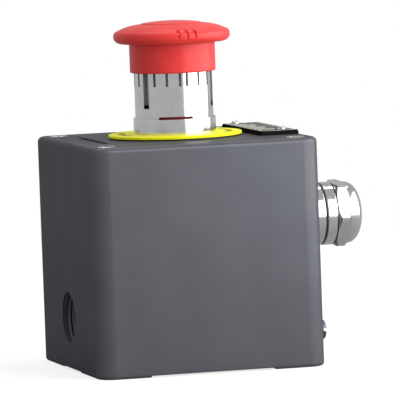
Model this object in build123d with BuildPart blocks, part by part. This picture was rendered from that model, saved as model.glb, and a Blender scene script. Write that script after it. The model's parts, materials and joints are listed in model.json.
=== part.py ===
from build123d import *
import os
from math import acos, cos, degrees, radians, sin

# Surface-mounted emergency stop station: a square box with a latching mushroom push-button.
# Origin: centre of the underside. +X points out of the cable gland, +Z out of the button.
# All sizes are in millimetres.

# Box
CASE = 80.0
CASE_R = 6.0
BASE_H = 75.0
LID_T = 3.0
TOP = BASE_H + LID_T
WALL = 3.0
INSIDE = CASE / 2 - WALL
TOP_EDGE_R = 1.8
BOTTOM_EDGE_R = 1.2
RELIEF_H = 0.65
RELIEF_DEPTH = 12.0
RELIEF_FRONT = 44.0
RELIEF_SIDE = 26.0
SEAL_IN = 0.8
SEAL_W = 1.4
SEAL_H = 1.2

# Lid screws and floor holes
SCREW_XY = 33.0
POST_R = 4.6
SCREW_R = 1.6
SCREW_HEAD_R = 3.3
SCREW_HEAD_H = 1.5
CROSS_L = 3.6
CROSS_W = 0.9
CROSS_DEPTH = 1.0
SCREW_L = 16.0
POCKET_R = 3.6
POCKET_DEPTH = 1.4
FLOOR_HOLES = 50.0
FLOOR_HOLE_R = 2.15

# Side entries
ENTRY_R = 8.7
ENTRY_Z = 18.0
ENTRY_BOSS_R = 11.5
ENTRY_BOSS = 2.5
GLAND_Z = 48.5
GLAND_THREAD_R = 9.25
GLAND_BOSS_R = 13.0
GLAND_BOSS = 1.5
GLAND_R = 10.9
GLAND_BORE = 5.8
SHOULDER_L = 10.0
COUPLING_START = 10.6
COUPLING_END = 14.2
NECK_R = 8.2
NECK_BORE = 7.2
NECK_END = 19.8
CLAW_START = 12.2
CLAW_END = 20.6
SEAL_END = 20.4
NUT_HEX = 10.7
NUT_TURN = 7
NUT_CORNER_R = 12.05
NUT_START = 14.6
NUT_CHAMFER = 0.7
NUT_MOUTH = 5.4
NUT_SHOULDER = 18.0
NUT_DOME = ((18.9, 10.75), (20.4, 10.6), (21.6, 10.1), (22.9, 8.8), (24.0, 6.4))
NUT_END = 24.0
CABLE_R = 4.5
LOCKNUT_HEX = 12.0
LOCKNUT_T = 4.0

# Earth screw
EARTH_Y = -29.0
EARTH_Z = 11.5
EARTH_R = 3.45
EARTH_HEAD = 2.2
EARTH_SHANK_R = 1.9
EARTH_BOSS_X = 28.0

# Lid furniture
STRIP_X = -36.8
STRIP_W = 9.0
STRIP_FRONT = -18.0
STRIP_RAMP = 19.0
STRIP_REAR = 27.0
STRIP_DEPTH = 0.5
PLATE_X = 31.3
PLATE_Y = 3.5
PLATE_W = 13.6
PLATE_L = 49.0
PLATE_BASE_T = 1.0
PLATE_T = 0.5
RIVETS = {"front": (33.4, -16.0), "rear": (28.4, 24.0)}
RIVET_R = 1.4

# Push-button
PANEL_HOLE_R = 11.25
LEGEND_R = 22.9
LEGEND_Z = TOP + 0.5
LEGEND_T = 0.9
FLANGE_Z = LEGEND_Z + LEGEND_T
GASKET_R = 22.4
FLANGE_R = 14.1
FLANGE_TOP = 84.9
TUBE_R = 13.4
TUBE_TOP = 103.6
FOOT_GROOVE = 0.3
CUP_R = 12.2
CUP_FLOOR = 80.2
SHANK_R = 11.1
SHANK_BORE = 9.6
SHANK_END = 62.0
LEDGE_Z = 64.0
LEDGE_T = 2.0
LATCH_Z = 71.0
LATCH_TOP = 77.0
LATCH_BORE = 8.3
LATCH_NOTCH_W = 3.0
LATCH_NOTCHES = (30, 150, 270)
SLIT_Z = 84.6
SLIT_H = 0.9
SLIT_ANGLES = (-128.5, -77)
SLOT_W = 2.5
SLOT_Z = 88.3
SLOT_TOP = 102.0
GROOVE_W = 0.9
GROOVE_Z = 95.8
GROOVE_ANGLES = (16.2, 35.5, 54.8)
SLOT_ANGLES = (-150, -30, 90)

# Moving column
SLEEVE_R = 10.8
SLEEVE_BORE = 9.2
SLEEVE_Z = 84.5
SLEEVE_TOP = 104.0
INDICATOR_TOP = 88.0
BEARING_Z = 98.4
HUB_R = 5.0
HUB_END = 98.0
GUIDE_R = 11.9
GUIDE_Z = 89.5
GUIDE_TOP = 107.0
STEM_R = 4.0
STEM_DISC_Z = 90.0
STEM_DISC_T = 3.0
STEM_END = 61.4
PUSHER_R = 8.8
PUSHER_T = 1.5
RUNNING = 0.06

# Mushroom head
SKIRT_R = 14.7
SKIRT_BORE = 13.75
SKIRT_Z = 100.3
HEAD_R = 20.0
CAVITY_TOP = 108.2
CAP_R = 10.45
CAP_SEAT = 114.6
BOLT_R = 1.6
BOLT_HEAD_R = 3.2
BOLT_SEAT = 112.4
BOLT_END = 94.2
BOLT_NUT_Z = 94.6
WASHER_Z = 96.8
WASHER_R = 7.0
CAP_EDGE = 117.1
CAP_RISE = 0.75
NOTCH_W = 1.35
NOTCH_PITCH = 8.6
NOTCH = ((21.0, 111.6), (20.1, 111.8), (19.5, 112.6), (19.3, 113.6),
         (18.3, 114.15), (17.3, 115.25), (21.0, 116.0))

# Contact blocks
BLOCK_X = 5.4
BLOCK_W = 10.4
BLOCK_L = 30.0
BLOCK_Z = 26.0
BLOCK_TOP = 55.5
LEG_T = 3.5
CARRIER_X = 4.0
CARRIER_Y = 6.0
CARRIER_Z = 36.0
CARRIER_TOP = 59.7
CAVITY_X = 8.0
CAVITY_Y = 19.0
CAVITY_FLOOR = 28.5
CAVITY_ROOF = 53.0
BRIDGE_Z = 45.2
BRIDGE_L = 16.0
BLADE_Z = 47.5
BLADE_T = 0.8
BLADE_W = 5.0
BLADE_IN = 5.0
TIP_R = 1.3
TIP_Y = 6.5
TERMINAL_Z = 43.5

# Fixing collar
COLLAR_X = 34.0
COLLAR_Y = 32.0
COLLAR_TOP = 74.2
COLLAR_SCREW_X = 14.0
COLLAR_SCREW_R = 1.5

UP = (Align.CENTER, Align.CENTER, Align.MIN)
os.makedirs("parts", exist_ok=True)


def save(name, piece):
    """Labels a finished piece and writes its file."""
    piece.part.label = name
    export_step(piece.part, f"parts/{name}.step")


def drum(low, high, radius, centre=(0, 0), mode=Mode.ADD):
    """An upright cylinder between two heights, in the open part."""
    with Locations((centre[0], centre[1], low)):
        Cylinder(radius, high - low, align=UP, mode=mode)


def bar(start, end, radius, y, z, mode=Mode.ADD):
    """A cylinder along X between two places, in the open part."""
    with Locations(Location((start, y, z), (0, 90, 0))):
        Cylinder(radius, end - start, align=UP, mode=mode)


def block(centre, size, mode=Mode.ADD):
    """A box that stands on the centre of its underside, in the open part."""
    with Locations(centre):
        Box(*size, align=UP, mode=mode)


def entry_holes():
    """The open entry on the left wall and the gland's hole on the right one."""
    bar(-INSIDE - 1, -INSIDE + ENTRY_BOSS, ENTRY_BOSS_R, 0, ENTRY_Z)
    bar(-CASE / 2, -INSIDE + ENTRY_BOSS, ENTRY_R, 0, ENTRY_Z, Mode.SUBTRACT)
    bar(INSIDE - GLAND_BOSS, INSIDE + 1, GLAND_BOSS_R, 0, GLAND_Z)
    bar(INSIDE - GLAND_BOSS, CASE / 2, GLAND_THREAD_R + 0.05, 0, GLAND_Z, Mode.SUBTRACT)


def make_base():
    """Box with four feet, screw posts, a seal groove and the side entries."""
    with BuildPart() as enclosure_base:
        with BuildSketch():
            RectangleRounded(CASE, CASE, CASE_R)
        extrude(amount=BASE_H)
        fillet(enclosure_base.edges().group_by(Axis.Z)[0], BOTTOM_EDGE_R)
        with BuildSketch(Plane.XY.offset(WALL)):
            RectangleRounded(2 * INSIDE, 2 * INSIDE, CASE_R - WALL)
        extrude(amount=BASE_H - WALL, mode=Mode.SUBTRACT)
        with BuildSketch(Plane.XY.offset(WALL)):
            with GridLocations(2 * SCREW_XY, 2 * SCREW_XY, 2, 2):
                Circle(POST_R)
        extrude(amount=BASE_H - WALL)
        block(((EARTH_BOSS_X + INSIDE + 1) / 2, EARTH_Y, EARTH_Z - 5), (INSIDE + 1 - EARTH_BOSS_X, 10, 10))
        entry_holes()
        bar(EARTH_BOSS_X, CASE / 2, EARTH_SHANK_R + 0.05, EARTH_Y, EARTH_Z, Mode.SUBTRACT)
        with BuildSketch():
            with Locations((0, -CASE / 2), (0, CASE / 2)):
                Rectangle(RELIEF_FRONT, 2 * RELIEF_DEPTH)
            with Locations((-CASE / 2, 0), (CASE / 2, 0)):
                Rectangle(2 * RELIEF_DEPTH, RELIEF_SIDE)
        extrude(amount=RELIEF_H, mode=Mode.SUBTRACT)
        with BuildSketch():
            with GridLocations(FLOOR_HOLES, FLOOR_HOLES, 2, 2):
                Circle(FLOOR_HOLE_R)
        extrude(amount=WALL, mode=Mode.SUBTRACT)
        with BuildSketch(Plane.XY.offset(BASE_H)):
            with GridLocations(2 * SCREW_XY, 2 * SCREW_XY, 2, 2):
                Circle(SCREW_R + 0.05)
        extrude(amount=-SCREW_L - 2, mode=Mode.SUBTRACT)
        with BuildSketch(Plane.XY.offset(BASE_H)):
            seal_outline()
        extrude(amount=-SEAL_H, mode=Mode.SUBTRACT)
    save("enclosure_base", enclosure_base)


def seal_outline():
    """The rounded square band of the lid seal, in the open sketch."""
    outer = CASE - 2 * SEAL_IN
    inner = outer - 2 * SEAL_W
    RectangleRounded(outer, outer, CASE_R - SEAL_IN)
    RectangleRounded(inner, inner, CASE_R - SEAL_IN - SEAL_W, mode=Mode.SUBTRACT)


def make_lid():
    """Lid plate with the button's hole, screw pockets and a shallow side strip."""
    with BuildPart() as lid:
        with BuildSketch(Plane.XY.offset(BASE_H)):
            RectangleRounded(CASE, CASE, CASE_R)
        extrude(amount=LID_T)
        fillet(lid.edges().group_by(Axis.Z)[-1], TOP_EDGE_R)
        with BuildSketch(Plane.YZ.offset(STRIP_X)):
            with BuildLine():
                Polyline((STRIP_FRONT, TOP + 1), (STRIP_FRONT, TOP - STRIP_DEPTH),
                         (STRIP_RAMP, TOP - STRIP_DEPTH), (STRIP_REAR, TOP),
                         (STRIP_REAR, TOP + 1), close=True)
            make_face()
        extrude(amount=STRIP_W, mode=Mode.SUBTRACT)
        drum(BASE_H, TOP, PANEL_HOLE_R, mode=Mode.SUBTRACT)
        with Locations(Plane.XY.offset(TOP)):
            with GridLocations(2 * SCREW_XY, 2 * SCREW_XY, 2, 2):
                CounterBoreHole(SCREW_R + 0.2, POCKET_R, POCKET_DEPTH, LID_T)
    save("lid", lid)
    with BuildPart() as lid_seal:
        with BuildSketch(Plane.XY.offset(BASE_H - SEAL_H)):
            seal_outline()
        extrude(amount=SEAL_H)
    save("lid_seal", lid_seal)


def make_lid_screws():
    """Four pan-head screws with crossed recesses, one in each corner of the lid."""
    seat = TOP - POCKET_DEPTH
    corners = {"fl": (-1, -1), "fr": (1, -1), "bl": (-1, 1), "br": (1, 1)}
    for name, (side_x, side_y) in corners.items():
        at = (side_x * SCREW_XY, side_y * SCREW_XY)
        with BuildPart() as lid_screw:
            drum(seat, seat + SCREW_HEAD_H, SCREW_HEAD_R, at)
            fillet(lid_screw.edges().group_by(Axis.Z)[-1], 0.5)
            drum(seat + 1 - SCREW_L, seat, SCREW_R, at)
            floor = (at[0], at[1], seat + SCREW_HEAD_H - CROSS_DEPTH)
            block(floor, (CROSS_L, CROSS_W, CROSS_DEPTH), Mode.SUBTRACT)
            block(floor, (CROSS_W, CROSS_L, CROSS_DEPTH), Mode.SUBTRACT)
        save(f"lid_screw_{name}", lid_screw)


def make_marking_plate():
    """Rating plate on a black backing strip, held by two dome-headed rivets."""
    seat = TOP + PLATE_BASE_T
    with BuildPart() as plate_backing:
        with BuildSketch(Plane.XY.offset(TOP)):
            with Locations((PLATE_X, PLATE_Y)):
                RectangleRounded(PLATE_W, PLATE_L, 0.8)
        extrude(amount=PLATE_BASE_T)
    save("plate_backing", plate_backing)
    with BuildPart() as marking_plate:
        with BuildSketch(Plane.XY.offset(seat)):
            with Locations((PLATE_X, PLATE_Y)):
                RectangleRounded(PLATE_W - 0.3, PLATE_L - 0.3, 0.8)
        extrude(amount=PLATE_T)
        fillet(marking_plate.edges().group_by(Axis.Z)[-1], 0.15)
    save("marking_plate", marking_plate)
    for name, centre in RIVETS.items():
        with BuildPart() as rivet:
            drum(seat + PLATE_T, seat + PLATE_T + 1.1, RIVET_R, centre)
            fillet(rivet.edges().group_by(Axis.Z)[-1], 0.9)
        save(f"plate_rivet_{name}", rivet)


def hexagon(start, end, apothem, turn, mode=Mode.ADD):
    """A hexagonal length along the gland's axis, in the open part."""
    with BuildSketch(Plane.YZ.offset(start)) as section:
        with Locations((0, GLAND_Z)):
            RegularPolygon(apothem, 6, major_radius=False, rotation=turn)
    extrude(section.sketch, amount=end - start, mode=mode)


def make_gland_body():
    """Gland body: threaded shank, round shoulder, round coupling and the neck under the nut."""
    wall = CASE / 2
    inner = wall - LOCKNUT_T - WALL - GLAND_BOSS - 2.5
    with BuildPart() as gland_body:
        bar(wall, wall + SHOULDER_L, GLAND_R, 0, GLAND_Z)
        bar(wall + COUPLING_START, wall + COUPLING_END, GLAND_R, 0, GLAND_Z)
        fillet(gland_body.edges().filter_by(GeomType.CIRCLE), 0.35)
        bar(wall + SHOULDER_L, wall + COUPLING_START, 9.6, 0, GLAND_Z)
        bar(inner, wall, GLAND_THREAD_R, 0, GLAND_Z)
        bar(wall, wall + NECK_END, NECK_R, 0, GLAND_Z)
        bar(inner, wall + CLAW_START, GLAND_BORE, 0, GLAND_Z, Mode.SUBTRACT)
        bar(wall + CLAW_START, wall + NECK_END, NECK_BORE, 0, GLAND_Z, Mode.SUBTRACT)
    save("gland_body", gland_body)


def make_gland_nut():
    """Dome nut: a chamfered hexagon that closes in a rounded nose round the cable."""
    start = CASE / 2 + NUT_START
    end = CASE / 2 + NUT_END
    dome = [(CASE / 2 + along, GLAND_Z + out) for along, out in NUT_DOME]
    with BuildPart() as gland_dome_nut:
        with BuildSketch(Plane.XZ):
            with BuildLine():
                Polyline((end, GLAND_Z + NUT_MOUTH), (start, GLAND_Z + NUT_MOUTH),
                         (start, GLAND_Z + NUT_HEX), (start + NUT_CHAMFER, GLAND_Z + NUT_CORNER_R),
                         (CASE / 2 + NUT_SHOULDER, GLAND_Z + NUT_CORNER_R), dome[0])
                Spline(*dome)
                Line(dome[-1], (end, GLAND_Z + NUT_MOUTH))
            make_face()
        revolve(axis=Axis((0, 0, GLAND_Z), (1, 0, 0)))
        hexagon(start, end, NUT_HEX, NUT_TURN, Mode.INTERSECT)
        bar(start, CASE / 2 + CLAW_END, NECK_R + 0.1, 0, GLAND_Z, Mode.SUBTRACT)
    save("gland_dome_nut", gland_dome_nut)


def make_gland_inside():
    """Seals, claw ring and locknut of the gland."""
    wall = CASE / 2
    rings = {
        "gland_o_ring": (SHOULDER_L, COUPLING_START, 10.5, 9.6),
        "gland_claw": (CLAW_START, CLAW_END, NECK_BORE - 0.05, 6.1),
        "gland_seal": (COUPLING_END, SEAL_END, 6.05, CABLE_R),
    }
    for name, (start, end, outer, inner) in rings.items():
        with BuildPart() as ring:
            bar(wall + start, wall + end, outer, 0, GLAND_Z)
            bar(wall + start, wall + end, inner, 0, GLAND_Z, Mode.SUBTRACT)
        save(name, ring)
    seat = INSIDE - GLAND_BOSS
    with BuildPart() as gland_locknut:
        hexagon(seat - LOCKNUT_T, seat, LOCKNUT_HEX, 0)
        bar(0, wall, GLAND_THREAD_R + 0.05, 0, GLAND_Z, Mode.SUBTRACT)
    save("gland_locknut", gland_locknut)


def make_earth_screw():
    """Slotted pan-head earth screw through the right wall, with its washer and nut inside."""
    wall = CASE / 2
    boss = EARTH_BOSS_X
    with BuildPart() as earth_screw:
        bar(wall, wall + EARTH_HEAD, EARTH_R, EARTH_Y, EARTH_Z)
        fillet(earth_screw.edges().group_by(Axis.X)[-1], 0.9)
        bar(boss - 5, wall, EARTH_SHANK_R, EARTH_Y, EARTH_Z)
        block((wall + EARTH_HEAD, EARTH_Y, EARTH_Z - 0.6), (2.4, 8, 1.2), Mode.SUBTRACT)
    save("earth_screw", earth_screw)
    with BuildPart() as earth_washer:
        bar(boss - 0.8, boss, 4.2, EARTH_Y, EARTH_Z)
        bar(boss - 0.8, boss, EARTH_SHANK_R + 0.05, EARTH_Y, EARTH_Z, Mode.SUBTRACT)
    save("earth_washer", earth_washer)
    with BuildPart() as earth_nut:
        with BuildSketch(Plane.YZ.offset(boss - 3.8)):
            with Locations((EARTH_Y, EARTH_Z)):
                RegularPolygon(3.5, 6, major_radius=False)
                Circle(EARTH_SHANK_R + 0.05, mode=Mode.SUBTRACT)
        extrude(amount=3.0)
    save("earth_nut", earth_nut)


def cut_window():
    """Cuts the indicator window through the foot of the bezel tube, in the open part."""
    reach = 3 * TUBE_R
    sides = [(reach * cos(radians(angle)), reach * sin(radians(angle))) for angle in SLIT_ANGLES]
    with BuildSketch(Plane.XY.offset(SLIT_Z)) as slit:
        Circle(FLANGE_R + 1)
        Circle(CUP_R - 0.5, mode=Mode.SUBTRACT)
        with BuildLine() as outline:
            Polyline((0, 0), *sides, close=True)
        make_face(outline.edges(), mode=Mode.INTERSECT)
    extrude(slit.sketch, amount=SLIT_H, mode=Mode.SUBTRACT)


def foot_groove():
    """Turns a fine groove where the tube leaves the flange, in the open part."""
    with BuildSketch(Plane.XY.offset(FLANGE_TOP)) as groove:
        Circle(TUBE_R + 0.1)
        Circle(TUBE_R - FOOT_GROOVE, mode=Mode.SUBTRACT)
    extrude(groove.sketch, amount=FOOT_GROOVE, mode=Mode.SUBTRACT)


def bezel_cuts():
    """Indicator window, foot groove, long slots and short open slits of the bezel tube."""
    cut_window()
    foot_groove()
    for angle in SLOT_ANGLES:
        cut_radial(angle, SLOT_W, CUP_R - 1, SLOT_Z, SLOT_TOP)
        for offset_angle in GROOVE_ANGLES:
            for turn in (angle - offset_angle, angle + offset_angle):
                cut_radial(turn, GROOVE_W, CUP_R - 1, GROOVE_Z, TUBE_TOP)


def cut_radial(angle, width, inner, low, high):
    """Cuts an upright slot through the outside of the open part at one polar angle."""
    reach = 5.0
    middle = inner + reach / 2
    at = (middle * cos(radians(angle)), middle * sin(radians(angle)), low)
    with Locations(Location(at, (0, 0, angle))):
        Box(reach, width, high - low, align=UP, mode=Mode.SUBTRACT)


def make_bezel():
    """Bezel and its shank, the legend disc and its gasket, and the latch ring."""
    with BuildPart() as bezel_body:
        drum(SHANK_END, FLANGE_Z, SHANK_R)
        drum(FLANGE_Z, FLANGE_TOP, FLANGE_R)
        fillet(bezel_body.edges().group_by(Axis.Z)[-1], 0.4)
        drum(FLANGE_TOP, TUBE_TOP, TUBE_R)
        drum(CUP_FLOOR, TUBE_TOP, CUP_R, mode=Mode.SUBTRACT)
        drum(SHANK_END, CUP_FLOOR, SHANK_BORE, mode=Mode.SUBTRACT)
        drum(LEDGE_Z, LEDGE_Z + LEDGE_T, SHANK_BORE + 0.5)
        drum(LEDGE_Z, LEDGE_Z + LEDGE_T, STEM_R + RUNNING, mode=Mode.SUBTRACT)
        bezel_cuts()
    save("bezel_body", bezel_body)
    with BuildPart() as legend_gasket:
        drum(TOP, LEGEND_Z, GASKET_R)
        drum(TOP, LEGEND_Z, PANEL_HOLE_R, mode=Mode.SUBTRACT)
    save("legend_gasket", legend_gasket)
    with BuildPart() as legend_disc:
        drum(LEGEND_Z, FLANGE_Z, LEGEND_R)
        fillet(legend_disc.edges().group_by(Axis.Z)[-1], 0.4)
        drum(LEGEND_Z, FLANGE_Z, PANEL_HOLE_R, mode=Mode.SUBTRACT)
    save("legend_disc", legend_disc)
    with BuildPart() as latch_ring:
        drum(LATCH_Z, LATCH_TOP, SHANK_BORE)
        drum(LATCH_Z, LATCH_TOP, LATCH_BORE, mode=Mode.SUBTRACT)
        for angle in LATCH_NOTCHES:
            cut_radial(angle, LATCH_NOTCH_W, LATCH_BORE - 0.3, LATCH_Z + 2, LATCH_TOP)
    save("latch_ring", latch_ring)


def make_collar():
    """Die-cast fixing collar that clamps the button's shank under the lid."""
    with BuildPart() as fixing_collar:
        with BuildSketch(Plane.XY.offset(SHANK_END)):
            RectangleRounded(COLLAR_X, COLLAR_Y, 3.0)
            Circle(SHANK_R + 0.05, mode=Mode.SUBTRACT)
            with Locations((-COLLAR_SCREW_X, 0), (COLLAR_SCREW_X, 0)):
                Circle(COLLAR_SCREW_R + 0.05, mode=Mode.SUBTRACT)
        extrude(amount=COLLAR_TOP - SHANK_END)
    save("fixing_collar", fixing_collar)
    with BuildPart() as collar_washer:
        drum(COLLAR_TOP, BASE_H, 16.5)
        drum(COLLAR_TOP, BASE_H, SHANK_R + 0.1, mode=Mode.SUBTRACT)
        for side in (-COLLAR_SCREW_X, COLLAR_SCREW_X):
            drum(COLLAR_TOP, BASE_H, COLLAR_SCREW_R + 0.1, (side, 0), Mode.SUBTRACT)
    save("collar_washer", collar_washer)
    for name, side in (("left", -1), ("right", 1)):
        at = (side * COLLAR_SCREW_X, 0)
        with BuildPart() as collar_screw:
            drum(SHANK_END - 2.2, SHANK_END, 2.6, at)
            drum(SHANK_END, BASE_H, COLLAR_SCREW_R, at)
            block((at[0], 0, SHANK_END - 2.2), (7, 0.8, 1.0), Mode.SUBTRACT)
        save(f"collar_screw_{name}", collar_screw)


def make_coil(name, mean_r, wire_r, low, high, turns, centre=(0, 0)):
    """A round-wire coil spring that just fits between two heights."""
    height = high - low - 2 * wire_r
    start = (centre[0], centre[1], low + wire_r)
    coil = Helix(height / turns, height, mean_r, center=start)
    with BuildPart() as spring:
        with BuildSketch(Plane(origin=coil @ 0, z_dir=coil % 0)):
            Circle(wire_r)
        sweep(path=coil)
    save(name, spring)


def make_plunger():
    """Sleeves, red indicator ring, stem, pusher plate and clip, which slide together."""
    with BuildPart() as plunger_sleeve:
        drum(SLEEVE_Z, SLEEVE_TOP, SLEEVE_R)
        drum(SLEEVE_Z, BEARING_Z, SLEEVE_BORE, mode=Mode.SUBTRACT)
        drum(BEARING_Z, SLEEVE_TOP, HUB_R + RUNNING, mode=Mode.SUBTRACT)
    save("plunger_sleeve", plunger_sleeve)
    with BuildPart() as guide_sleeve:
        drum(GUIDE_Z, GUIDE_TOP, GUIDE_R)
        drum(GUIDE_Z, GUIDE_TOP, SLEEVE_R, mode=Mode.SUBTRACT)
    save("guide_sleeve", guide_sleeve)
    with BuildPart() as indicator_ring:
        drum(SLEEVE_Z, INDICATOR_TOP, GUIDE_R)
        drum(SLEEVE_Z, INDICATOR_TOP, SLEEVE_R, mode=Mode.SUBTRACT)
    save("indicator_ring", indicator_ring)
    with BuildPart() as plunger_stem:
        drum(STEM_DISC_Z, STEM_DISC_Z + STEM_DISC_T, SLEEVE_BORE)
        drum(STEM_END, STEM_DISC_Z, STEM_R)
    save("plunger_stem", plunger_stem)
    with BuildPart() as pusher_plate:
        drum(STEM_END - PUSHER_T, STEM_END, PUSHER_R)
        fillet(pusher_plate.edges().group_by(Axis.Z)[0], 0.4)
    save("pusher_plate", pusher_plate)
    with BuildPart() as stem_clip:
        drum(LEDGE_Z - 1.3, LEDGE_Z - 0.3, 6.2)
        drum(LEDGE_Z - 1.3, LEDGE_Z - 0.3, STEM_R, mode=Mode.SUBTRACT)
    save("stem_clip", stem_clip)
    make_coil("return_spring", 6.6, 0.55, LEDGE_Z + LEDGE_T, STEM_DISC_Z, 6)
    make_coil("twist_spring", 6.6, 0.45, SLEEVE_TOP, SLEEVE_TOP + 3.4, 3)


def head_outline():
    """Half section of the mushroom head, in the open sketch."""
    with BuildLine() as outline:
        Polyline((0, HUB_END), (HUB_R, HUB_END), (HUB_R, CAVITY_TOP), (SKIRT_BORE, CAVITY_TOP),
                 (SKIRT_BORE, SKIRT_Z), (SKIRT_R - 0.6, SKIRT_Z))
        ThreePointArc((SKIRT_R - 0.6, SKIRT_Z), (SKIRT_R - 0.18, SKIRT_Z + 0.18), (SKIRT_R, SKIRT_Z + 0.6))
        Line((SKIRT_R, SKIRT_Z + 0.6), (SKIRT_R, 110.1))
        Line((SKIRT_R, 110.1), (17.4, 110.4))
        ThreePointArc((17.4, 110.4), (19.3, 111.1), (HEAD_R, 112.3))
        Line((HEAD_R, 112.3), (HEAD_R, 113.2))
        ThreePointArc((HEAD_R, 113.2), (19.5, 114.2), (18.4, 114.8))
        Spline((18.4, 114.8), (15.4, 116.0), (13.4, 116.45), (10.6, 116.8))
        Polyline((10.6, 116.8), (CAP_R + 0.05, 116.75), (CAP_R + 0.05, CAP_SEAT), (0, CAP_SEAT),
                 (0, HUB_END))
    make_face(outline.edges())


def grip_notches():
    """Three groups of three short notches across the head's upper rim."""
    for group in (-90, 30, 150):
        for step in (-NOTCH_PITCH, 0, NOTCH_PITCH):
            turn = radians(group + step)
            outward = (cos(turn), sin(turn), 0)
            across = (sin(turn), -cos(turn), 0)
            with BuildSketch(Plane((0, 0, 0), x_dir=outward, z_dir=across)) as notch:
                with BuildLine() as outline:
                    Polyline(*NOTCH, close=True)
                make_face(outline.edges())
            extrude(notch.sketch, amount=NOTCH_W / 2, both=True, mode=Mode.SUBTRACT)


def make_head():
    """Mushroom head, its centre insert and the screw, washer and nut that hold it."""
    with BuildPart() as mushroom_head:
        with BuildSketch(Plane.XZ):
            head_outline()
        revolve(axis=Axis.Z)
        drum(BOLT_SEAT, CAP_SEAT, BOLT_HEAD_R + 0.3, mode=Mode.SUBTRACT)
        drum(HUB_END, BOLT_SEAT, BOLT_R + 0.05, mode=Mode.SUBTRACT)
        grip_notches()
    save("mushroom_head", mushroom_head)
    rim = CAP_R - 0.3
    dome_r = (rim**2 + CAP_RISE**2) / (2 * CAP_RISE)
    start = degrees(acos(rim / dome_r))
    with BuildPart() as head_cap:
        with BuildSketch(Plane.XZ):
            with BuildLine():
                Polyline((0, CAP_SEAT), (CAP_R, CAP_SEAT), (CAP_R, CAP_EDGE - 0.3), (rim, CAP_EDGE))
                CenterArc((0, CAP_EDGE + CAP_RISE - dome_r), dome_r, start, 90 - start)
                Line((0, CAP_EDGE + CAP_RISE), (0, CAP_SEAT))
            make_face()
        revolve(axis=Axis.Z)
    save("head_cap", head_cap)
    with BuildPart() as head_screw:
        drum(BOLT_SEAT, BOLT_SEAT + 2, BOLT_HEAD_R)
        drum(BOLT_END, BOLT_SEAT, BOLT_R)
        block((0, 0, BOLT_SEAT + 1), (2 * BOLT_HEAD_R, 0.9, 1), Mode.SUBTRACT)
    save("head_screw", head_screw)
    with BuildPart() as head_washer:
        drum(WASHER_Z, HUB_END, WASHER_R)
        drum(WASHER_Z, HUB_END, BOLT_R + 0.05, mode=Mode.SUBTRACT)
    save("head_washer", head_washer)
    with BuildPart() as head_nut:
        with BuildSketch(Plane.XY.offset(BOLT_NUT_Z)):
            RegularPolygon(3.0, 6, major_radius=False)
            Circle(BOLT_R + 0.05, mode=Mode.SUBTRACT)
        extrude(amount=WASHER_Z - BOLT_NUT_Z)
    save("head_nut", head_nut)


def make_block_housing(name, x):
    """Contact block housing with two legs that hang it from the collar."""
    with BuildPart() as housing:
        block((x, 0, BLOCK_Z), (BLOCK_W, BLOCK_L, BLOCK_TOP - BLOCK_Z))
        for side in (-1, 1):
            leg_y = side * (BLOCK_L - LEG_T) / 2
            block((x, leg_y, BLOCK_TOP), (BLOCK_W, LEG_T, SHANK_END - BLOCK_TOP))
            block((x, side * 12, BLADE_Z), (BLADE_W, 8, BLADE_T), Mode.SUBTRACT)
            with Locations(Location((x, side * BLOCK_L / 2, TERMINAL_Z), (side * 90, 0, 0))):
                Cylinder(1.55, 5, align=UP, mode=Mode.SUBTRACT)
        block((x, 0, CAVITY_FLOOR), (CAVITY_X, CAVITY_Y, CAVITY_ROOF - CAVITY_FLOOR), Mode.SUBTRACT)
        block((x, 0, CAVITY_ROOF), (CARRIER_X + 0.4, CARRIER_Y + 0.4, 5), Mode.SUBTRACT)
    save(f"block_housing_{name}", housing)


def make_fixed_contact(name, x, side):
    """Bent strip with a contact tip inside the block and a screw terminal outside it."""
    end = BLOCK_L / 2 + BLADE_T
    length = end - BLADE_IN
    drop = BLADE_Z - TERMINAL_Z + 3
    terminal = (x, side * (BLOCK_L / 2 + BLADE_T), TERMINAL_Z)
    with BuildPart() as fixed_contact:
        block((x, side * (BLADE_IN + length / 2), BLADE_Z), (BLADE_W, length, BLADE_T))
        block((x, side * (end - BLADE_T / 2), BLADE_Z - drop), (BLADE_W, BLADE_T, drop))
        drum(BLADE_Z - 0.6, BLADE_Z, TIP_R, (x, side * TIP_Y))
        with Locations(Location(terminal, (side * 90, 0, 0))):
            Cylinder(1.55, 4, align=(Align.CENTER, Align.CENTER, Align.CENTER), mode=Mode.SUBTRACT)
    save(f"fixed_contact_{name}", fixed_contact)
    with BuildPart() as terminal_screw:
        with Locations(Location(terminal, (-side * 90, 0, 0))):
            Cylinder(2.2, 1.6, align=UP)
        with Locations(Location(terminal, (side * 90, 0, 0))):
            Cylinder(1.5, 5, align=UP)
        block((x, side * (end + 1.6), TERMINAL_Z - 0.4), (5, 1.6, 0.8), Mode.SUBTRACT)
    save(f"terminal_screw_{name}", terminal_screw)


def make_carrier(name, x):
    """Sliding contact carrier, its contact bridge and the spring below it."""
    with BuildPart() as carrier:
        block((x, 0, CARRIER_Z), (CARRIER_X, CARRIER_Y, CARRIER_TOP - CARRIER_Z))
        block((x, 0, BRIDGE_Z), (3.0, 8, BLADE_T), Mode.SUBTRACT)
    save(f"contact_carrier_{name}", carrier)
    with BuildPart() as bridge:
        block((x, 0, BRIDGE_Z), (3.0, BRIDGE_L, BLADE_T))
        for side in (-TIP_Y, TIP_Y):
            drum(BRIDGE_Z + BLADE_T, BLADE_Z - 0.8, TIP_R, (x, side))
    save(f"contact_bridge_{name}", bridge)
    make_coil(f"contact_spring_{name}", 1.6, 0.25, CAVITY_FLOOR, CARRIER_Z, 4, (x, 0))


def make_contact_blocks():
    """Two normally closed contact blocks side by side."""
    for name, x in (("a", -BLOCK_X), ("b", BLOCK_X)):
        make_block_housing(name, x)
        make_carrier(name, x)
        for end, side in (("front", -1), ("rear", 1)):
            make_fixed_contact(f"{name}_{end}", x, side)


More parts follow.
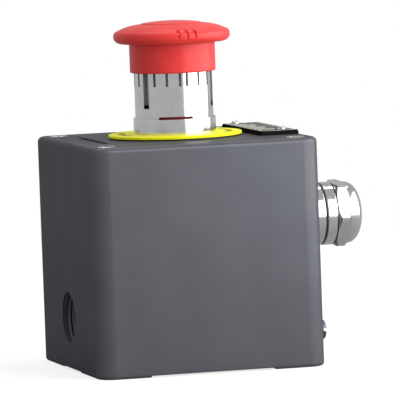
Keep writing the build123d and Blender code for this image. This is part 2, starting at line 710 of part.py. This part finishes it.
make_base()
make_lid()
make_lid_screws()
make_marking_plate()
make_gland_body()
make_gland_nut()
make_gland_inside()
make_earth_screw()
make_bezel()
make_collar()
make_plunger()
make_head()
make_contact_blocks()
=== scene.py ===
"""Looks of the boxed emergency stop button: materials, surface detail, light, floor and camera."""
import json
from math import cos, pi, radians, sin

import bmesh
import bpy
from mathutils import Matrix, Vector


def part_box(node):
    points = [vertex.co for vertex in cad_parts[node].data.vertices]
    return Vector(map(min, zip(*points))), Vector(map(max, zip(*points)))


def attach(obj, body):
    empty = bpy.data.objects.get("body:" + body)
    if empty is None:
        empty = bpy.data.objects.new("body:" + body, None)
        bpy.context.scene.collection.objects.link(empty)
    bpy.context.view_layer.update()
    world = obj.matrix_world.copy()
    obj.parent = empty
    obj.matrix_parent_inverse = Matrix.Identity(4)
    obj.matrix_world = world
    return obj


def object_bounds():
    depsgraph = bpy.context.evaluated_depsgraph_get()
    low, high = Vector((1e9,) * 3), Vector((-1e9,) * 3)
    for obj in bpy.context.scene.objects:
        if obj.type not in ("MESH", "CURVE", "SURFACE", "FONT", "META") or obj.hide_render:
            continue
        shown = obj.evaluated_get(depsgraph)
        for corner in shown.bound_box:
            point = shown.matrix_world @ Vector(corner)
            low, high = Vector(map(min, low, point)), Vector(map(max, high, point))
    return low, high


MM = 0.001
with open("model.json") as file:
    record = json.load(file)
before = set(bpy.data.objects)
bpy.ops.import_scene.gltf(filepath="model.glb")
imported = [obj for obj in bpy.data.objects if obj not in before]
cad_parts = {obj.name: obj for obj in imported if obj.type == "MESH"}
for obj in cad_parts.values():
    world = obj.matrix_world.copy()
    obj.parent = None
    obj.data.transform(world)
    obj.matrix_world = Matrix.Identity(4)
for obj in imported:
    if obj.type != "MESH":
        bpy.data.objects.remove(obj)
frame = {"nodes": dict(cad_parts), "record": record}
nodes = frame["nodes"]
cad_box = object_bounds()
centre = (cad_box[0] + cad_box[1]) / 2

# The part of a noise pattern's range that a two-colour ramp and a spread of values use
RAMP_RANGE = (0.35, 0.65)
SPREAD_RANGE = (0.3, 0.7)


def linear(red, green, blue):
    """Turns a screen colour of 0 to 255 into the linear colour that shaders use."""
    values = []
    for level in (red, green, blue):
        level = level / 255
        values.append(level / 12.92 if level <= 0.04045 else ((level + 0.055) / 1.055) ** 2.4)
    return (*values, 1.0)


# Materials


class Surface:
    """A node material on the standard shader, with helpers for colour, gloss and relief patterns."""

    def __init__(self, name, roughness, **sockets):
        self.material = bpy.data.materials.new(name)
        self.material.use_nodes = True
        self.tree = self.material.node_tree
        self.shader = self.tree.nodes["Principled BSDF"]
        self.coords = self.tree.nodes.new("ShaderNodeTexCoord").outputs["Object"]
        self.shader.inputs["Roughness"].default_value = roughness
        for socket, value in sockets.items():
            self.shader.inputs[socket.replace("_", " ")].default_value = value

    def noise(self, size, detail=3.0, stretch=(1, 1, 1)):
        """A cloudy pattern whose patches are about size metres across."""
        place = self.tree.nodes.new("ShaderNodeMapping")
        place.inputs["Scale"].default_value = stretch
        texture = self.tree.nodes.new("ShaderNodeTexNoise")
        texture.inputs["Scale"].default_value = 1 / size
        texture.inputs["Detail"].default_value = detail
        self.tree.links.new(self.coords, place.inputs["Vector"])
        self.tree.links.new(place.outputs["Vector"], texture.inputs["Vector"])
        return texture.outputs["Fac"]

    def ramp(self, factor, low, high):
        """Maps a pattern onto two colours."""
        ramp = self.tree.nodes.new("ShaderNodeValToRGB")
        for stop, position, colour in zip(ramp.color_ramp.elements, RAMP_RANGE, (low, high)):
            stop.position = position
            stop.color = colour
        self.tree.links.new(factor, ramp.inputs["Fac"])
        return ramp.outputs["Color"]

    def spread(self, factor, low, high):
        """Maps a pattern onto a range of values."""
        scale = self.tree.nodes.new("ShaderNodeMapRange")
        scale.inputs["From Min"].default_value = SPREAD_RANGE[0]
        scale.inputs["From Max"].default_value = SPREAD_RANGE[1]
        scale.inputs["To Min"].default_value = low
        scale.inputs["To Max"].default_value = high
        self.tree.links.new(factor, scale.inputs["Value"])
        return scale.outputs["Result"]

    def paint(self, colour):
        self.tree.links.new(colour, self.shader.inputs["Base Color"])

    def gloss(self, value):
        self.tree.links.new(value, self.shader.inputs["Roughness"])

    def bump(self, height, depth):
        """Adds relief of about depth metres."""
        bump = self.tree.nodes.new("ShaderNodeBump")
        bump.inputs["Strength"].default_value = 1.0
        bump.inputs["Distance"].default_value = depth
        self.tree.links.new(height, bump.inputs["Height"])
        self.tree.links.new(bump.outputs["Normal"], self.shader.inputs["Normal"])


def powder_coat():
    """Satin grey metal-flake powder coat with fine orange peel, dull when seen edge on."""
    edge_tint = (0.45, 0.45, 0.45, 1)
    flake = {"Metallic": 0.38, "Specular_IOR_Level": 0.0, "Specular_Tint": edge_tint}
    coat = Surface("powder_coat", 0.25, **flake)
    coat.paint(coat.ramp(coat.noise(14 * MM), linear(95, 96, 102), linear(99, 100, 106)))
    coat.gloss(coat.spread(coat.noise(3 * MM), 0.23, 0.27))
    coat.bump(coat.noise(0.5 * MM, 2.0), 0.0008 * MM)
    return coat.material


def yellow_disc():
    """Smooth yellow plastic with a barely visible moulding haze."""
    disc = Surface("legend_yellow", 0.4, Specular_IOR_Level=0.1)
    disc.paint(disc.ramp(disc.noise(6 * MM), linear(248, 244, 12), linear(252, 249, 22)))
    disc.gloss(disc.spread(disc.noise(1.5 * MM), 0.33, 0.43))
    disc.bump(disc.noise(0.3 * MM), 0.002 * MM)
    return disc.material


def red_plastic(name, dark, light, roughness):
    """Moulded red plastic with a faint grain and slightly uneven polish."""
    plastic = Surface(name, roughness, Specular_IOR_Level=0.3)
    plastic.paint(plastic.ramp(plastic.noise(5 * MM), dark, light))
    plastic.gloss(plastic.spread(plastic.noise(0.8 * MM), roughness - 0.05, roughness + 0.06))
    plastic.bump(plastic.noise(0.25 * MM, 2.0), 0.002 * MM)
    return plastic.material


def plated_metal(name, colour, roughness, brush=(1, 1, 1)):
    """Bright plating with fine turned marks and small dull patches."""
    dullness = 0.93
    metal = Surface(name, roughness, Metallic=1.0)
    dull = tuple(dullness * level for level in colour[:3]) + (1.0,)
    metal.paint(metal.ramp(metal.noise(4 * MM), dull, colour))
    metal.gloss(metal.spread(metal.noise(1.2 * MM, 4.0, brush), roughness - 0.03, roughness + 0.04))
    metal.bump(metal.noise(0.35 * MM, 2.0, brush), 0.0003 * MM)
    return metal.material


def plain_plastic(name, colour, roughness, specular=0.5):
    """Moulded plastic with a light grain."""
    plastic = Surface(name, roughness, Specular_IOR_Level=specular)
    pale = tuple(min(1.0, 1.12 * level + 0.003) for level in colour[:3]) + (1.0,)
    plastic.paint(plastic.ramp(plastic.noise(3 * MM), colour, pale))
    plastic.gloss(plastic.spread(plastic.noise(0.6 * MM), roughness - 0.05, roughness + 0.06))
    plastic.bump(plastic.noise(0.2 * MM), 0.003 * MM)
    return plastic.material


coat = powder_coat()
chrome = plated_metal("bezel_chrome", linear(228, 228, 230), 0.13, (1, 1, 6))
nickel = plated_metal("gland_nickel", linear(214, 214, 213), 0.14, (6, 1, 1))
steel = plated_metal("screw_steel", linear(205, 204, 200), 0.25)
zinc = plated_metal("zinc_steel", linear(190, 190, 184), 0.35)
dark_steel = plated_metal("earth_dark_steel", linear(98, 100, 106), 0.38)
wire = plated_metal("spring_steel", linear(168, 168, 170), 0.3)
brass = plated_metal("contact_brass", linear(212, 172, 96), 0.3)
casting = plated_metal("collar_metal", linear(165, 166, 168), 0.5)
head_red = red_plastic("head_red", linear(226, 55, 54), linear(232, 61, 59), 0.38)
sleeve_red = red_plastic("sleeve_red", linear(120, 14, 14), linear(132, 18, 17), 0.5)
guide_grey = plain_plastic("guide_grey", linear(150, 151, 153), 0.45)
rubber = plain_plastic("seal_rubber", linear(22, 22, 23), 0.6)
sleeve_black = plain_plastic("sleeve_black", linear(30, 30, 32), 0.5)
plate_black = plain_plastic("plate_black", linear(26, 25, 24), 0.45, 0.0)
plate_face = plain_plastic("plate_face", linear(28, 28, 30), 0.45, 0.0)
block_black = plain_plastic("block_black", linear(45, 45, 47), 0.5)
carrier_red = plain_plastic("carrier_red", linear(190, 60, 45), 0.5)
stem_grey = plain_plastic("stem_plastic", linear(130, 130, 134), 0.5)
claw_white = plain_plastic("claw_plastic", linear(205, 205, 198), 0.5)

LOOKS = {
    "case_grey": coat,
    "legend_yellow": yellow_disc(),
    "head_red": head_red,
    "sleeve_red": sleeve_red,
    "sleeve_black": sleeve_black,
    "guide_grey": guide_grey,
    "bezel_chrome": chrome,
    "gland_nickel": nickel,
    "seal_rubber": rubber,
    "plate_black": plate_black,
    "plate_face": plate_face,
    "screw_steel": steel,
    "zinc_steel": zinc,
    "earth_dark_steel": dark_steel,
    "spring_steel": wire,
    "contact_brass": brass,
    "block_black": block_black,
    "carrier_red": carrier_red,
    "collar_metal": casting,
    "stem_plastic": stem_grey,
    "claw_plastic": claw_white,
}


def dress_nodes():
    """Gives every carried-over piece the look of its material slot."""
    for part in frame["record"]["subparts"]:
        node = nodes[part["node"]]
        look = LOOKS[part["material_slot"]]
        if not node.material_slots:
            node.data.materials.append(look)
        for place in node.material_slots:
            place.material = look


# Small pieces


def new_piece(name, mesh, look, body="enclosure"):
    """Turns a finished bmesh into an object that rides on a body."""
    data = bpy.data.meshes.new(name)
    mesh.to_mesh(data)
    mesh.free()
    data.materials.append(look)
    piece = bpy.data.objects.new(name, data)
    bpy.context.scene.collection.objects.link(piece)
    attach(piece, body)
    return piece


def add_bar(mesh, middle, size, edge, turn=0.0):
    """Adds a small box with softened edges to a mesh, turned about the upright axis."""
    place = Matrix.Translation(middle) @ Matrix.Rotation(turn, 4, "Z") @ Matrix.Diagonal((*size, 1))
    made = bmesh.ops.create_cube(mesh, size=1.0, matrix=place)
    lines = list({line for corner in made["verts"] for line in corner.link_edges})
    bmesh.ops.bevel(mesh, geom=lines, offset=edge, segments=2, affect="EDGES")


def plate_rules():
    """Raised bright frame, cross rules and blank entries on the marking plate."""
    low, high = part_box("marking_plate")
    line, rise, margin, fields = 0.6 * MM, 0.1 * MM, 0.6 * MM, 8
    entry_line, entry_start, shares = 0.9 * MM, -0.4, (0.35, 0.47)
    edge = rise / 4
    level = high.z + rise / 2
    across = (low.x + high.x) / 2
    width, length = high.x - low.x - 2 * margin, high.y - low.y - 2 * margin
    mesh = bmesh.new()
    for side in (-1, 1):
        rail = Vector((across + side * (width - line) / 2, (low.y + high.y) / 2, level))
        add_bar(mesh, rail, (line, length, rise), edge)
    first, pitch = low.y + margin + line / 2, (length - line) / fields
    for step in range(fields + 1):
        rule = Vector((across, first + step * pitch, level))
        add_bar(mesh, rule, (width, line, rise), edge)
    for step in range(1, fields - 1):
        share = shares[step % 2]
        entry = Vector((across + (entry_start + share / 2) * width, first + (step + 0.5) * pitch, level))
        add_bar(mesh, entry, (share * width, entry_line, rise), edge)
    new_piece("plate_rules", mesh, claw_white)


def legend_marks():
    """Blank dark strokes in two groups round the yellow disc."""
    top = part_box("legend_disc")[1].z
    reach, rise = 18.6 * MM, 0.04 * MM
    size, groups, spacing = (2.2 * MM, 0.8 * MM, rise), (175, -5), 8
    mesh = bmesh.new()
    for group in groups:
        for step in range(-3, 4):
            turn = radians(group + spacing * step)
            middle = Vector((reach * cos(turn), reach * sin(turn), top + rise / 2))
            add_bar(mesh, middle, size, rise / 4, turn)
    new_piece("legend_marks", mesh, plate_black)


def entry_thread():
    """Thread ridges round the open conduit entry in the left wall."""
    radius, depth, pitch = 8.7 * MM, 0.45 * MM, 1.41 * MM
    start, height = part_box("enclosure_base")[0].x + 0.5 * MM, 18 * MM
    turns, steps = 3, 48
    fade_steps, least = steps / 4, 0.05
    last = steps * turns
    mesh = bmesh.new()
    rings = []
    for step in range(last + 1):
        angle = 2 * pi * step / steps
        fade = min(1.0, step / fade_steps, (last - step) / fade_steps)
        crest = radius - depth * max(fade, least)
        ring = []
        for shift, reach in ((0.05, radius), (0.5, crest), (0.95, radius)):
            x = start + pitch * (step / steps + shift)
            place = (x, reach * cos(angle), height + reach * sin(angle))
            ring.append(mesh.verts.new(place))
        rings.append(ring)
    for one, two in zip(rings, rings[1:]):
        for a, b in ((0, 1), (1, 2), (2, 0)):
            mesh.faces.new((one[a], one[b], two[b], two[a]))
    mesh.faces.new(rings[0])
    mesh.faces.new(reversed(rings[-1]))
    bmesh.ops.recalc_face_normals(mesh, faces=mesh.faces)
    new_piece("entry_thread", mesh, coat)


# Stage


def seen_directly(tree, indirect, direct, socket):
    """Gives a stage brightness one value in reflections and another one straight behind the object."""
    seen = tree.nodes.new("ShaderNodeLightPath")
    level = tree.nodes.new("ShaderNodeMapRange")
    level.inputs["To Min"].default_value = indirect
    level.inputs["To Max"].default_value = direct
    tree.links.new(seen.outputs["Is Camera Ray"], level.inputs["Value"])
    tree.links.new(level.outputs["Result"], socket)


def studio_floor():
    """A round pale floor that blends into the white backdrop."""
    albedo, glow, radius = 0.35, 0.75, 0.5
    floor_look = bpy.data.materials.new("studio_floor")
    floor_look.use_nodes = True
    shader = floor_look.node_tree.nodes["Principled BSDF"]
    shader.inputs["Base Color"].default_value = (albedo, albedo, albedo, 1)
    shader.inputs["Roughness"].default_value = 0.8
    shader.inputs["Specular IOR Level"].default_value = 0.0
    shader.inputs["Emission Color"].default_value = (1, 1, 1, 1)
    seen_directly(floor_look.node_tree, 0.0, glow, shader.inputs["Emission Strength"])
    mesh = bmesh.new()
    bmesh.ops.create_circle(mesh, cap_ends=True, segments=96, radius=radius)
    data = bpy.data.meshes.new("studio_floor")
    mesh.to_mesh(data)
    mesh.free()
    data.materials.append(floor_look)
    floor = bpy.data.objects.new("studio_floor", data)
    floor.location.z = cad_box[0].z
    bpy.context.scene.collection.objects.link(floor)


def soft_light(name, azimuth, elevation, distance, size, power):
    """A soft box at an angle round and above the object's centre, aimed at it."""
    data = bpy.data.lights.new(name, "AREA")
    data.shape = "RECTANGLE"
    data.size, data.size_y = size
    data.energy = power
    lamp = bpy.data.objects.new(name, data)
    lamp.visible_camera = False
    turn, lift = radians(azimuth), radians(elevation)
    back = Vector((cos(turn) * cos(lift), sin(turn) * cos(lift), sin(lift)))
    lamp.location = centre + back * distance
    lamp.rotation_euler = (-back).to_track_quat("-Z", "Y").to_euler()
    bpy.context.scene.collection.objects.link(lamp)


def studio_world(strength):
    """A white backdrop that lights the object only softly."""
    world = bpy.data.worlds.new("studio")
    world.use_nodes = True
    background = world.node_tree.nodes["Background"]
    background.inputs["Color"].default_value = (1, 1, 1, 1)
    seen_directly(world.node_tree, strength, 1.0, background.inputs["Strength"])
    bpy.context.scene.world = world


def studio_camera():
    """A long lens a little above the lid, turned slightly to the left of the front wall."""
    turn, lift, roll = radians(-15.30), radians(5.0), radians(-2.11)
    aside, down = -0.003744, 0.008434
    target, distance, lens = Vector((0, 0, 0.04)), 1.9008, 498.2
    back = Vector((sin(turn) * cos(lift), -cos(turn) * cos(lift), sin(lift)))
    right = (-back).cross(Vector((0, 0, 1))).normalized()
    up = right.cross(-back)
    right, up = cos(roll) * right + sin(roll) * up, cos(roll) * up - sin(roll) * right
    ahead = -back
    right, ahead = right * cos(aside) + ahead * sin(aside), ahead * cos(aside) - right * sin(aside)
    up, ahead = up * cos(down) - ahead * sin(down), ahead * cos(down) + up * sin(down)
    data = bpy.data.cameras.new("camera")
    data.lens = lens
    data.sensor_width = 36
    camera = bpy.data.objects.new("camera", data)
    facing = Matrix((right, up, -ahead)).transposed().to_4x4()
    camera.matrix_world = Matrix.Translation(target + back * distance) @ facing
    bpy.context.scene.collection.objects.link(camera)
    bpy.context.scene.camera = camera


dress_nodes()
plate_rules()
legend_marks()
entry_thread()
studio_floor()
studio_world(strength=0.52)
soft_light("key", azimuth=-32, elevation=14, distance=0.55, size=(1.04, 0.85), power=9.4)
soft_light("top", azimuth=-90, elevation=112, distance=1.3, size=(1.0, 0.08), power=4.0)
studio_camera()
bpy.context.scene.view_settings.view_transform = "Standard"
